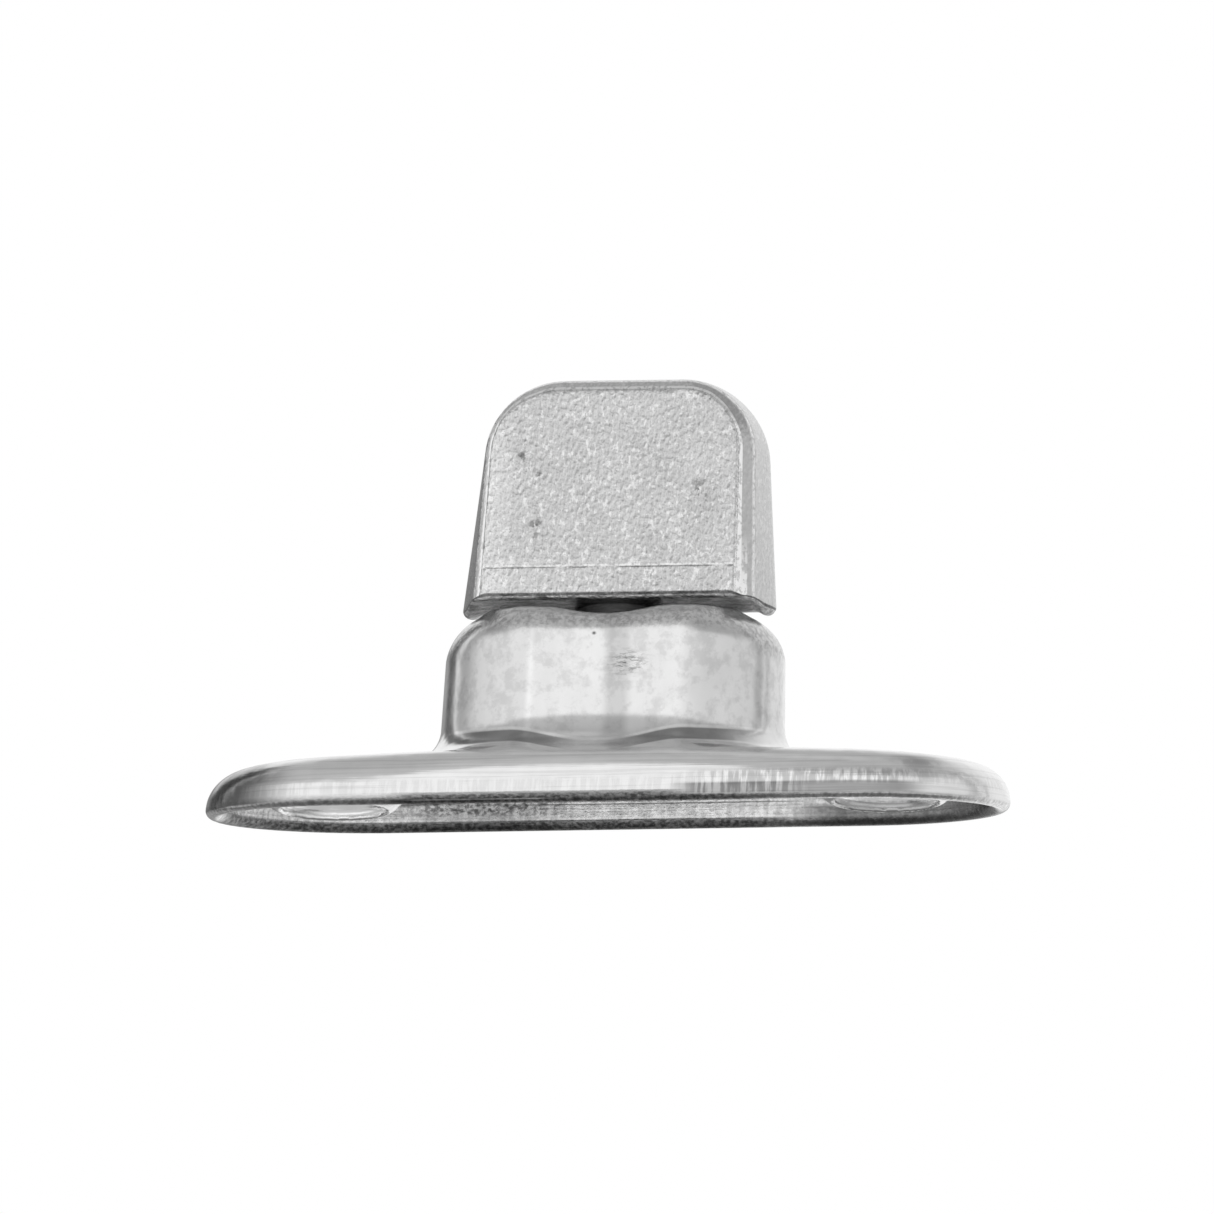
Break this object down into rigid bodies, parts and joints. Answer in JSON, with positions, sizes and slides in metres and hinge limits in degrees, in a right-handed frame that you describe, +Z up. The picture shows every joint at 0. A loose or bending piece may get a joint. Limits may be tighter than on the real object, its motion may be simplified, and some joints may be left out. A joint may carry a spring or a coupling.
{
  "type": "turn button fastener",
  "caption": "Sprung canvas turn button: a cast button on a waisted oval barrel turns and lifts on an oval base plate with countersunk screw holes.",
  "frame": {"origin": "centre of the base plate, on its flat mounting plane", "axes": "+X along the length of the base, +Y across it, +Z up through the barrel and the button"},
  "size_m": [0.0332, 0.013, 0.0183],
  "materials": {
    "plated_base": "bright nickel plate over drawn brass, lightly worn",
    "plated_button": "nickel plate over a fine cast grain",
    "plated_pin": "dull plated steel",
    "spring_steel": "drawn spring wire, satin"
  },
  "bodies": {
    "base": {"base_shell": "plated_base", "spring": "spring_steel"},
    "lift": {"spring_washer": "plated_pin"},
    "button": {"turn_button": "plated_button", "spindle": "plated_pin"}
  },
  "joints": [
    {"name": "button_lift", "type": "slide", "parent": "base", "child": "lift", "axis": [0, 0, 1], "range_m": [0, 0.0012], "stiffness_N_per_m": 3000, "springref_m": -0.0012, "deforming": ["spring"]},
    {"name": "button_turn", "type": "hinge", "parent": "lift", "child": "button", "pos_m": [0, 0, 0.0085], "axis": [0, 0, 1], "continuous": true}
  ]
}
